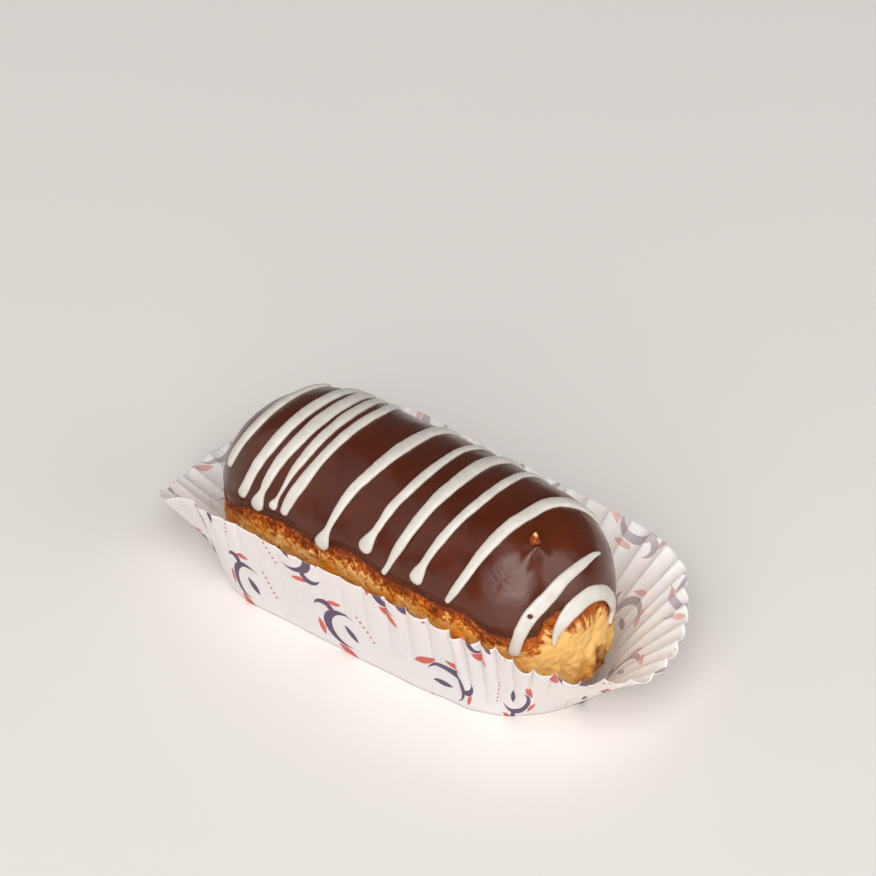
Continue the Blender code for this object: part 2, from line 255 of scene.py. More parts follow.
class Sculptor:
    """Turns primitives into closed pieces in the frame."""

    SEAM = 0.004 * MM

    @staticmethod
    def clear_selection() -> None:
        for thing in bpy.context.selected_objects:
            thing.select_set(False)

    @classmethod
    def grid(cls, name: str, columns: int, rows: int) -> bpy.types.Object:
        """A flat grid of this many faces each way, to be shaped by place()."""
        cls.clear_selection()
        bpy.ops.mesh.primitive_grid_add(x_subdivisions=columns, y_subdivisions=rows, size=1.0)
        made = bpy.context.active_object
        made.name = made.data.name = name
        return made

    @staticmethod
    def parts(piece: bpy.types.Object) -> tuple[Grid, Grid]:
        """How far across and up its grid each point lies, from 0 to 1."""
        flat = np.empty(len(piece.data.vertices) * 3)
        piece.data.vertices.foreach_get("co", flat)
        flat = flat.reshape(-1, 3)
        return np.round(flat[:, 0] + 0.5, 6), np.round(flat[:, 1] + 0.5, 6)

    @staticmethod
    def place(piece: bpy.types.Object, points: Grid) -> None:
        """Moves every point of the piece to its place in the frame."""
        piece.data.vertices.foreach_set("co", points.reshape(-1).astype(np.float32))
        piece.data.update()

    @staticmethod
    def mark(piece: bpy.types.Object, name: str, values: Grid) -> None:
        """Stores one number for each point, for the piece's material."""
        layer = piece.data.attributes.new(name, "FLOAT", "POINT")
        layer.data.foreach_set("value", values.reshape(-1).astype(np.float32))

    @staticmethod
    def store_uv(piece: bpy.types.Object, across: Grid, up: Grid) -> None:
        """Stores each point's place on the flat blank, in millimetres, as the UV map."""
        layer = piece.data.uv_layers.active or piece.data.uv_layers.new(name="UVMap")
        corners = np.empty(len(piece.data.loops), int)
        piece.data.loops.foreach_get("vertex_index", corners)
        spots = np.stack([across[corners], up[corners]], -1)
        layer.data.foreach_set("uv", spots.reshape(-1).astype(np.float32))

    @classmethod
    def close(cls, piece: bpy.types.Object, fill: bool = False) -> None:
        """Merges the seam and the poles, fills open ends if asked, and turns faces outwards."""
        cls.clear_selection()
        piece.select_set(True)
        bpy.context.view_layer.objects.active = piece
        bpy.ops.object.mode_set(mode="EDIT")
        bpy.ops.mesh.select_all(action="SELECT")
        bpy.ops.mesh.remove_doubles(threshold=cls.SEAM)
        if fill:
            bpy.ops.mesh.select_all(action="DESELECT")
            bpy.ops.mesh.select_non_manifold(
                extend=False, use_wire=False, use_boundary=True, use_multi_face=False,
                use_non_contiguous=False, use_verts=False)
            bpy.ops.mesh.edge_face_add()
            bpy.ops.mesh.select_all(action="SELECT")
        bpy.ops.mesh.normals_make_consistent(inside=False)
        bpy.ops.object.mode_set(mode="OBJECT")
        bpy.ops.object.shade_smooth()

    @staticmethod
    def finish(piece: bpy.types.Object, material: bpy.types.Material, slot: Slot,
               *nodes: str) -> None:
        """Dresses a piece, lets it ride with the part and hides the CAD nodes it stands for."""
        piece.data.materials.clear()
        piece.data.materials.append(material)
        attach(piece, "root")
        if nodes:
            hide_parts(*nodes)
        LOG.info("%s: %d faces", piece.name, len(piece.data.polygons))


class Sketch:
    """A material's node tree, with short ways to add its nodes."""

    def __init__(self, name: str) -> None:
        """Starts a material with only its shader."""
        self.material = bpy.data.materials.new(name)
        self.material.use_nodes = True
        self.tree = self.material.node_tree
        self.shader = self.tree.nodes["Principled BSDF"]

    def node(self, kind: str, **settings: object) -> bpy.types.Node:
        """Adds a node and sets its properties."""
        made = self.tree.nodes.new(kind)
        for key, value in settings.items():
            setattr(made, key, value)
        return made

    def feed(self, socket: bpy.types.NodeSocket, value: object) -> None:
        """Links a socket to another, or sets its value."""
        if isinstance(value, bpy.types.NodeSocket):
            self.tree.links.new(value, socket)
        else:
            socket.default_value = value

    def math(self, operation: str, *values: object, clamp: bool = False) -> bpy.types.NodeSocket:
        """One step of arithmetic on numbers or sockets."""
        made = self.node("ShaderNodeMath", operation=operation, use_clamp=clamp)
        for socket, value in zip(made.inputs, values):
            self.feed(socket, value)
        return made.outputs[0]

    def attribute(self, name: str) -> bpy.types.NodeSocket:
        """A number that the piece stores at its points."""
        return self.node("ShaderNodeAttribute", attribute_name=name).outputs["Fac"]

    def place(self) -> bpy.types.NodeSocket:
        """The piece's own coordinates, in metres."""
        return self.node("ShaderNodeTexCoord").outputs["Object"]

    def noise(self, size: float, detail: float = 2.0, rough: float = 0.5,
              vector: bpy.types.NodeSocket | None = None, warp: float = 0.0) -> bpy.types.NodeSocket:
        """Noise from 0 to 1 whose lumps have this size in metres."""
        made = self.node("ShaderNodeTexNoise")
        self.feed(made.inputs["Vector"], vector or self.place())
        self.feed(made.inputs["Scale"], 1.0 / size)
        self.feed(made.inputs["Detail"], detail)
        self.feed(made.inputs["Roughness"], rough)
        self.feed(made.inputs["Distortion"], warp)
        return made.outputs["Fac"]

    def span(self, value: object, low: float, high: float, to_low: float = 0.0,
             to_high: float = 1.0) -> bpy.types.NodeSocket:
        """Maps low..high smoothly to another range."""
        made = self.node("ShaderNodeMapRange", interpolation_type="SMOOTHSTEP")
        for index, item in enumerate((value, low, high, to_low, to_high)):
            self.feed(made.inputs[index], item)
        return made.outputs[0]

    def mix(self, part: object, first: object, second: object) -> bpy.types.NodeSocket:
        """A colour between two colours."""
        made = self.node("ShaderNodeMix", data_type="RGBA", clamp_factor=True)
        self.feed(made.inputs["Factor"], part)
        for name, colour in (("A", first), ("B", second)):
            socket = next(s for s in made.inputs if s.name == name and s.type == "RGBA")
            self.feed(socket, (*colour, 1.0) if isinstance(colour, tuple) else colour)
        return next(s for s in made.outputs if s.type == "RGBA")

    def bump(self, height: bpy.types.NodeSocket, depth: float,
             under: bpy.types.NodeSocket | None = None) -> bpy.types.NodeSocket:
        """A normal bent by a height from 0 to 1 that is worth this depth in metres."""
        made = self.node("ShaderNodeBump")
        self.feed(made.inputs["Strength"], 1.0)
        self.feed(made.inputs["Distance"], depth)
        self.feed(made.inputs["Height"], height)
        if under is not None:
            self.feed(made.inputs["Normal"], under)
        return made.outputs["Normal"]

    def set(self, **values: object) -> None:
        """Feeds the shader's sockets, named with underscores for spaces."""
        for name, value in values.items():
            self.feed(self.shader.inputs[name.replace("_", " ")], value)


@dataclass(frozen=True)
class ChocolateFinish:
    """Set chocolate icing: dark milk brown, satin, with soft cloudy patches."""

    deep: Colour = (0.066, 0.0090, 0.0008)
    warm: Colour = (0.087, 0.0140, 0.0015)
    roughness: float = 0.225
    cloud_roughness: float = 0.2
    wave_depth: float = 0.2 * MM
    grain_depth: float = 0.025 * MM
    ior: float = 1.52

    def build(self) -> bpy.types.Material:
        """Makes the material, which is duller where the piece's cloud mark says so."""
        sketch = Sketch("chocolate_icing_finish")
        tone = sketch.span(sketch.noise(14 * MM, 3.0), 0.35, 0.7)
        sketch.set(Base_Color=sketch.mix(tone, self.deep, self.warm))
        rough = sketch.span(sketch.noise(5 * MM, 4.0), 0.3, 0.75,
                            self.roughness - 0.03, self.roughness + 0.09)
        dull = sketch.math("MULTIPLY", sketch.attribute("cloud"), self.cloud_roughness)
        rough = sketch.math("ADD", rough, dull)
        wave = sketch.bump(sketch.noise(7 * MM, 2.0), self.wave_depth)
        grain = sketch.bump(sketch.noise(0.9 * MM, 3.0), self.grain_depth, wave)
        sketch.set(Roughness=rough, Normal=grain, IOR=self.ior)
        return sketch.material


@dataclass(frozen=True)
class DrizzleFinish:
    """White chocolate drizzle: greyish off-white and satin, faintly see-through."""

    white: Colour = (0.64, 0.61, 0.565)
    shade: Colour = (0.57, 0.54, 0.495)
    roughness: float = 0.34
    grain_depth: float = 0.03 * MM
    see_through: float = 0.15

    def build(self) -> bpy.types.Material:
        """Makes the material."""
        sketch = Sketch("white_drizzle_finish")
        cloud = sketch.span(sketch.noise(4 * MM, 2.0), 0.3, 0.7)
        sketch.set(Base_Color=sketch.mix(cloud, self.shade, self.white))
        grain = sketch.bump(sketch.noise(0.9 * MM, 2.0), self.grain_depth)
        sketch.set(Roughness=self.roughness, Normal=grain)
        sketch.set(Subsurface_Weight=self.see_through, Subsurface_Scale=0.002,
                   Subsurface_Radius=(1.0, 0.9, 0.7))
        return sketch.material


@dataclass(frozen=True)
class ChouxFinish:
    """Baked choux: golden, browner on its lumps, and toasted where the icing meets it."""

    pale: Colour = (0.86, 0.565, 0.20)
    golden: Colour = (0.78, 0.285, 0.028)
    toasted: Colour = (0.46, 0.100, 0.007)
    brown: Colour = (0.15, 0.024, 0.003)
    burnt: Colour = (0.150, 0.030, 0.006)
    roughness: float = 0.6
    gloss: float = 0.25
    front_paleness: float = 0.8
    freckles: float = 0.25
    rind_depth: float = 0.4 * MM
    pore_depth: float = 0.24 * MM
    ray_depth: float = 0.5 * MM

    def build(self) -> bpy.types.Material:
        """Makes the material, which reads the piece's toast, front, streak and burnt marks.

        Its ray marks turn round the hub of the front end and grow slowly outwards, so that
        the streaks run out from there.
        """
        sketch = Sketch("choux_crust_finish")
        blotch = sketch.noise(9 * MM, 3.0)
        fleck = sketch.noise(1.7 * MM, 3.0, 0.6)
        peel = sketch.noise(1.15 * MM, 2.0, 0.5)
        streaks = self.streaks(sketch)
        colour = sketch.mix(sketch.span(blotch, 0.38, 0.68), self.golden, self.pale)
        paler = sketch.math("MULTIPLY", sketch.attribute("front"), self.front_paleness)
        colour = sketch.mix(paler, colour, self.pale)
        freckle = sketch.math("MULTIPLY", sketch.span(fleck, 0.5, 0.75), self.freckles)
        colour = sketch.mix(freckle, colour, self.toasted)
        grit = sketch.math("ADD", sketch.span(peel, 0.35, 0.7, 0.22, -0.3),
                           sketch.span(fleck, 0.3, 0.7, 0.22, -0.22))
        calm = sketch.span(sketch.attribute("front"), 0.0, 1.0, 1.0, 0.3)
        toast = sketch.math("ADD", sketch.attribute("toast"), sketch.math("MULTIPLY", grit, calm))
        colour = sketch.mix(sketch.span(toast, 0.12, 0.5), colour, self.toasted)
        colour = sketch.mix(sketch.span(toast, 0.45, 0.92, 0.0, 0.95), colour, self.brown)
        ray = sketch.math("MULTIPLY", sketch.attribute("streak"), streaks)
        ray = sketch.math("MULTIPLY", ray, sketch.span(fleck, 0.3, 0.6, 1.0, 0.6))
        colour = sketch.mix(sketch.span(ray, 0.12, 0.42), colour, self.toasted)
        colour = sketch.mix(sketch.span(ray, 0.4, 0.7, 0.0, 0.85), colour, self.brown)
        burn = sketch.math("MULTIPLY", sketch.attribute("burnt"),
                           sketch.span(fleck, 0.3, 0.65, 1.0, 0.5))
        colour = sketch.mix(burn, colour, self.burnt)
        rind = sketch.bump(fleck, self.rind_depth)
        pores = sketch.bump(peel, self.pore_depth, rind)
        rays = sketch.bump(sketch.math("MULTIPLY", ray, -1.0), self.ray_depth, pores)
        sketch.set(Base_Color=colour, Roughness=self.roughness, Normal=rays)
        sketch.set(Specular_IOR_Level=self.gloss, Subsurface_Weight=0.06,
                   Subsurface_Scale=0.002,
                   Subsurface_Radius=(1.0, 0.45, 0.15))
        return sketch.material

    @staticmethod
    def streaks(sketch: Sketch) -> bpy.types.NodeSocket:
        """Fine streaks that run out from the front end's hub, from 0 to 1."""
        spot = sketch.node("ShaderNodeCombineXYZ")
        for index, name in enumerate(("ray_x", "ray_y", "ray_out")):
            sketch.feed(spot.inputs[index], sketch.attribute(name))
        lines = sketch.noise(0.9, 3.0, 0.6, vector=spot.outputs[0])
        return sketch.span(lines, 0.4, 0.62)


@dataclass(frozen=True)
class PaperFinish:
    """Thin white greaseproof paper printed with small sprigs in purple and coral.

    An arc of a sprig is its centre, radius, half width and lean in radians, and a leaf its
    centre, turn in degrees, half length and half width, with lengths in millimetres.
    """

    # One white paper in two colours: the darker outer colour is painted shade and the lighter inner
    # colour is painted light.
    paper: Colour = (0.735, 0.69, 0.68)
    lit_inner_paper: Colour = (0.90, 0.85, 0.83)
    purple: Colour = (0.058, 0.020, 0.085)
    coral: Colour = (0.58, 0.070, 0.045)
    roughness: float = 0.55
    repeat_across_mm: float = 33.0
    repeat_up_mm: float = 23.0
    row_shift: float = 0.43
    fibre_depth: float = 0.12 * MM
    crease_depth: float = 0.5 * MM
    stem_arcs: tuple[tuple[float, ...], ...] = (
        (0.0, -1.0, 6.2, 1.0, 0.9), (7.6, 2.4, 3.0, 0.85, -1.2),
    )
    stem_leaves: tuple[tuple[float, ...], ...] = ((-1.2, -2.2, 10.0, 3.2, 1.1),)
    coral_leaves: tuple[tuple[float, ...], ...] = (
        (-6.9, 3.6, 35.0, 3.9, 1.3), (2.2, 7.6, -20.0, 3.2, 1.0), (9.2, -3.2, 70.0, 2.7, 0.9),
    )
    dot_step: float = 1.7
    dot_radius: float = 0.42
    dot_level: float = -9.2
    dot_reach: float = 5.1

    def build(self) -> bpy.types.Material:
        """Makes the material, which reads the UV map in millimetres and the inside mark; the inside
        mark gives the inner face the lighter paper colour, which is painted light, and fainter
        print.
        """
        sketch = Sketch("printed_paper_finish")
        stems, leaves = self.sprigs(sketch)
        inside = sketch.attribute("inside")
        strength = sketch.span(inside, 0.0, 1.0, 0.95, 0.55)
        # Painted light: the inner face takes the lighter paper colour, and the outer face takes the
        # darker, shaded one.
        colour = sketch.mix(inside, self.paper, self.lit_inner_paper)
        colour = sketch.mix(sketch.math("MULTIPLY", leaves, strength), colour, self.coral)
        colour = sketch.mix(sketch.math("MULTIPLY", stems, strength), colour, self.purple)
        fibre = sketch.bump(sketch.noise(2.5 * MM, 5.0, 0.6), self.fibre_depth)
        crease = sketch.bump(sketch.noise(9 * MM, 2.0, warp=1.2), self.crease_depth, fibre)
        sketch.set(Base_Color=colour, Roughness=self.roughness, Normal=crease)
        sketch.set(Subsurface_Weight=0.7, Subsurface_Scale=0.0007,
                   Subsurface_Radius=(1.0, 0.9, 0.85))
        return sketch.material

    def sprigs(self, sketch: Sketch) -> tuple[bpy.types.NodeSocket, bpy.types.NodeSocket]:
        """Draws one curled sprig in each cell of a staggered layout, each turned its own way.

        Args:
            sketch: the material that is being drawn.

        Returns:
            How much purple and how much coral ink lies at a point.
        """
        split = sketch.node("ShaderNodeSeparateXYZ")
        sketch.feed(split.inputs[0], sketch.node("ShaderNodeUVMap").outputs[0])
        row_place = sketch.math("DIVIDE", split.outputs[1], self.repeat_up_mm)
        row = sketch.math("FLOOR", row_place)
        across = sketch.math("DIVIDE", split.outputs[0], self.repeat_across_mm)
        across = sketch.math("ADD", across, sketch.math("MULTIPLY", row, self.row_shift))
        column = sketch.math("FLOOR", across)
        cell = sketch.node("ShaderNodeCombineXYZ")
        sketch.feed(cell.inputs[0], column)
        sketch.feed(cell.inputs[1], row)
        chance = sketch.node("ShaderNodeTexWhiteNoise", noise_dimensions="2D")
        sketch.feed(chance.inputs["Vector"], cell.outputs[0])
        turn = sketch.math("MULTIPLY", chance.outputs[0], 2.0 * math.pi)
        x = sketch.math("SUBTRACT", sketch.math("FRACT", across), 0.5)
        x = sketch.math("MULTIPLY", x, self.repeat_across_mm)
        y = sketch.math("SUBTRACT", sketch.math("FRACT", row_place), 0.5)
        y = sketch.math("MULTIPLY", y, self.repeat_up_mm)
        sine, cosine = sketch.math("SINE", turn), sketch.math("COSINE", turn)
        level = sketch.math("ADD", sketch.math("MULTIPLY", x, cosine),
                            sketch.math("MULTIPLY", y, sine))
        upright = sketch.math("SUBTRACT", sketch.math("MULTIPLY", y, cosine),
                              sketch.math("MULTIPLY", x, sine))
        stems = [self.arc(sketch, level, upright, *row) for row in self.stem_arcs]
        stems += [self.leaf(sketch, level, upright, *row) for row in self.stem_leaves]
        leaves = [self.leaf(sketch, level, upright, *row) for row in self.coral_leaves]
        leaves.append(self.dots(sketch, level, upright))
        return self.most(sketch, stems), self.most(sketch, leaves)

    @staticmethod
    def most(sketch: Sketch, inks: list[bpy.types.NodeSocket]) -> bpy.types.NodeSocket:
        """The most ink that any of these marks lays down."""
        best = inks[0]
        for ink in inks[1:]:
            best = sketch.math("MAXIMUM", best, ink)
        return best

    @staticmethod
    def length(sketch: Sketch, x: bpy.types.NodeSocket,
               y: bpy.types.NodeSocket) -> bpy.types.NodeSocket:
        """How far x and y lie from 0."""
        return sketch.math("SQRT", sketch.math(
            "ADD", sketch.math("MULTIPLY", x, x), sketch.math("MULTIPLY", y, y)))

    def arc(self, sketch: Sketch, x: bpy.types.NodeSocket, y: bpy.types.NodeSocket,
            centre_x: float, centre_y: float, radius: float, half_width: float,
            lean: float) -> bpy.types.NodeSocket:
        """A brushed arc, fullest on one side and running out on the other.

        Args:
            sketch: the material that is being drawn.
            x: place across the cell in millimetres.
            y: place up the cell in millimetres.
            centre_x: the arc's centre across the cell.
            centre_y: the arc's centre up the cell.
            radius: the arc's radius.
            half_width: half the stroke's width where it is fullest.
            lean: the direction of the full side, in radians.

        Returns:
            Ink from 0 to 1.
        """
        from_x = sketch.math("SUBTRACT", x, centre_x)
        from_y = sketch.math("SUBTRACT", y, centre_y)
        away = self.length(sketch, from_x, from_y)
        angle = sketch.math("ARCTAN2", from_y, from_x)
        full = sketch.math("COSINE", sketch.math("SUBTRACT", angle, lean))
        width = sketch.math("MULTIPLY", sketch.math("ADD", full, 0.35), half_width)
        off = sketch.math("ABSOLUTE", sketch.math("SUBTRACT", away, radius))
        return sketch.span(sketch.math("SUBTRACT", width, off), -0.06, 0.06)

    @staticmethod
    def leaf(sketch: Sketch, x: bpy.types.NodeSocket, y: bpy.types.NodeSocket,
             centre_x: float, centre_y: float, turn: float, half_length: float,
             half_width: float) -> bpy.types.NodeSocket:
        """A pointed leaf.

        Args:
            sketch: the material that is being drawn.
            x: place across the cell in millimetres.
            y: place up the cell in millimetres.
            centre_x: the leaf's centre across the cell.
            centre_y: the leaf's centre up the cell.
            turn: the way it points, in degrees.
            half_length: half its length.
            half_width: half its width.

        Returns:
            Ink from 0 to 1.
        """
        sine, cosine = math.sin(math.radians(turn)), math.cos(math.radians(turn))
        from_x = sketch.math("SUBTRACT", x, centre_x)
        from_y = sketch.math("SUBTRACT", y, centre_y)
        along = sketch.math("ADD", sketch.math("MULTIPLY", from_x, cosine),
                            sketch.math("MULTIPLY", from_y, sine))
        across = sketch.math("SUBTRACT", sketch.math("MULTIPLY", from_y, cosine),
                             sketch.math("MULTIPLY", from_x, sine))
        along = sketch.math("DIVIDE", along, half_length)
        width = sketch.math("MULTIPLY", half_width, sketch.math(
            "SUBTRACT", 1.0, sketch.math("MULTIPLY", along, along)))
        off = sketch.math("SUBTRACT", width, sketch.math("ABSOLUTE", across))
        return sketch.span(off, -0.05, 0.07)

    def dots(self, sketch: Sketch, x: bpy.types.NodeSocket,
             y: bpy.types.NodeSocket) -> bpy.types.NodeSocket:
        """A short row of dots below the sprig, as ink from 0 to 1."""
        from_y = sketch.math("SUBTRACT", y, self.dot_level)
        part = sketch.math("FRACT", sketch.math("DIVIDE", x, self.dot_step))
        from_x = sketch.math("MULTIPLY", sketch.math("SUBTRACT", part, 0.5), self.dot_step)
        away = self.length(sketch, from_x, from_y)
        row = sketch.math("LESS_THAN", sketch.math("ABSOLUTE", x), self.dot_reach)
        dot = sketch.span(away, self.dot_radius + 0.1, self.dot_radius - 0.1)
        return sketch.math("MULTIPLY", dot, row)


@dataclass(frozen=True)
class FloorFinish:
    """A plain pale floor."""

    colour: Colour = (0.83, 0.80, 0.77)
    roughness: float = 0.5

    def build(self) -> bpy.types.Material:
        """Makes the material."""
        sketch = Sketch("pale_floor")
        mottle = sketch.span(sketch.noise(0.2, 2.0), 0.3, 0.7)
        darker = tuple(c * 0.985 for c in self.colour)
        sketch.set(Base_Color=sketch.mix(mottle, self.colour, darker), Roughness=self.roughness)
        return sketch.material


@dataclass
class ChouxPastry:
    """The baked choux: bare below the icing and at the front end, lumpy and porous there."""

    form: EclairForm
    columns: int = 560
    rows_under: int = 150
    rows_over: int = 10
    crowding: float = 1.5
    band_bulge: float = 0.8 * MM
    lump: float = 0.7 * MM
    lump_size: float = 9.0 * MM
    pit: float = 0.28 * MM
    pit_size: float = 1.9 * MM
    lobes: int = 27
    lobe_depth: float = 0.8 * MM
    cleft: tuple[tuple[float, float], ...] = ((5.0, 14.0), (2.0, -5.0), (-3.0, -9.0))
    cleft_depth: float = 1.0 * MM
    cleft_width: float = 1.1 * MM
    burnt_spot: tuple[float, float] = (5.0, -21.0)
    burnt_reach: tuple[float, float] = (4.4, 8.0)
    hub: tuple[float, float] = (-1.0, -4.0)
    mm_per_turn: float = 0.66
    mm_per_rise: float = 0.43
    ray_rounds: float = 9.0
    ray_growth: float = 0.12

    def build(self) -> None:
        """Makes the choux and dresses it."""
        rows = self.rows_under + self.rows_over
        piece = Sculptor.grid("choux_pastry", self.columns, rows)
        across, up = Sculptor.parts(piece)
        bearing = across * 360.0
        edge = self.form.edge(bearing)
        split = self.rows_under / rows
        under = 1.0 - (1.0 - np.minimum(up / split, 1.0)) ** self.crowding
        low = -90.0 + (90.0 + edge) * under
        elevation = low + (90.0 - edge) * np.maximum(0.0, (up - split) / (1.0 - split))
        rim = self.form.at(bearing, elevation, 0.0)
        turn = np.mod(bearing + 180.0, 360.0) - 180.0
        front = np.where(np.abs(turn) < 60.0, np.cos(np.radians(turn * 1.5)), 0.0)
        inset = self.inset(rim, edge - elevation, elevation, front, turn)
        Sculptor.place(piece, self.form.at(bearing, elevation, inset))
        self.mark(piece, rim, edge - elevation, front, turn, elevation)
        Sculptor.close(piece)
        Sculptor.finish(piece, ChouxFinish().build(), Slot.CHOUX, "choux_shell")

    def inset(self, rim: Grid, below: Grid, elevation: Grid, front: Grid, turn: Grid) -> Grid:
        """How far inside the outer form the choux lies, with its lumps, pits and lobes.

        Args:
            rim: the points on the outer form.
            below: how far under the icing's edge they are, in degrees.
            elevation: their elevation.
            front: 1 at the front tip, down to 0 where the end meets the sides.
            turn: their bearing, from -180 to 180.

        Returns:
            Depths in metres.
        """
        visible = smoothstep(-62.0, -25.0, elevation)
        place = rim - CAD_SHIFT
        lumps = 0.7 * noise_at(place, self.lump_size) + 0.3 * noise_at(place * 2.3, self.lump_size)
        pits = noise_at(rim, self.pit_size, 3.1) + 0.5 * noise_at(rim, self.pit_size / 2.0, 7.7)
        ragged = noise_at(rim, 8.0 * MM, 4.4)
        lobes = np.cos(np.radians(turn * 1.5) * self.lobes + 1.6 * ragged)
        low = smoothstep(-5.0, -22.0, elevation) * smoothstep(0.1, 0.6, front)
        rough = self.pit * (1.0 + 1.3 * low)
        relief = self.band_bulge + visible * (self.lump * lumps + rough * pits)
        relief += self.lobe_depth * lobes * low * visible
        relief -= self.cleft_depth * self.cleft_at(turn, elevation)
        bare = smoothstep(0.0, 3.6, below)
        return self.form.icing_thickness + self.form.icing_gap - bare * relief

    def cleft_at(self, turn: Grid, elevation: Grid) -> Grid:
        """How deep in the front end's cleft a place is, from 0 to 1."""
        best = np.zeros_like(turn)
        wide = self.cleft_width / MM
        for start, end in zip(self.cleft, self.cleft[1:]):
            way = np.subtract(end, start) * (self.mm_per_turn, self.mm_per_rise)
            x, y = self.front_place(turn, elevation, start)
            part = np.clip((x * way[0] + y * way[1]) / (way @ way), 0.0, 1.0)
            away = np.hypot(x - part * way[0], y - part * way[1])
            best = np.maximum(best, np.exp(-((away / wide) ** 2)))
        return best

    def front_place(self, turn: Grid, elevation: Grid,
                    spot: tuple[float, float]) -> tuple[Grid, Grid]:
        """How far right of and above a spot of the front end a place is, in millimetres."""
        return ((turn - spot[0]) * self.mm_per_turn,
                (elevation - spot[1]) * self.mm_per_rise)

    def mark(self, piece: bpy.types.Object, rim: Grid, below: Grid, front: Grid,
             turn: Grid, elevation: Grid) -> None:
        """Stores where the crust is toasted, streaked, pale or burnt."""
        ragged = noise_at(rim, 4.0 * MM, 1.7) + 0.6 * noise_at(rim, 1.5 * MM, 8.2)
        fade = smoothstep(0.3, 0.9, front)
        reach = below + 3.0 * ragged - 1.5 * fade
        Sculptor.mark(piece, "toast", smoothstep(15.0, -1.0, reach) * (1.0 - 0.25 * fade))
        Sculptor.mark(piece, "front", fade * smoothstep(-36.0, -12.0, elevation + 5.0 * ragged))
        Sculptor.mark(piece, "streak", smoothstep(27.0, 2.0, below + 4.0 * ragged) * fade)
        x, y = self.front_place(turn, elevation, self.hub)
        angle, away = np.arctan2(y, x), np.hypot(x, y)
        Sculptor.mark(piece, "ray_x", self.ray_rounds * np.cos(angle))
        Sculptor.mark(piece, "ray_y", self.ray_rounds * np.sin(angle))
        Sculptor.mark(piece, "ray_out", self.ray_growth * away)
        patch = ((turn - self.burnt_spot[0]) / self.burnt_reach[0]) ** 2
        patch += ((elevation - self.burnt_spot[1]) / self.burnt_reach[1]) ** 2
        Sculptor.mark(piece, "burnt", smoothstep(2.0, 0.6, patch + 0.9 * ragged))


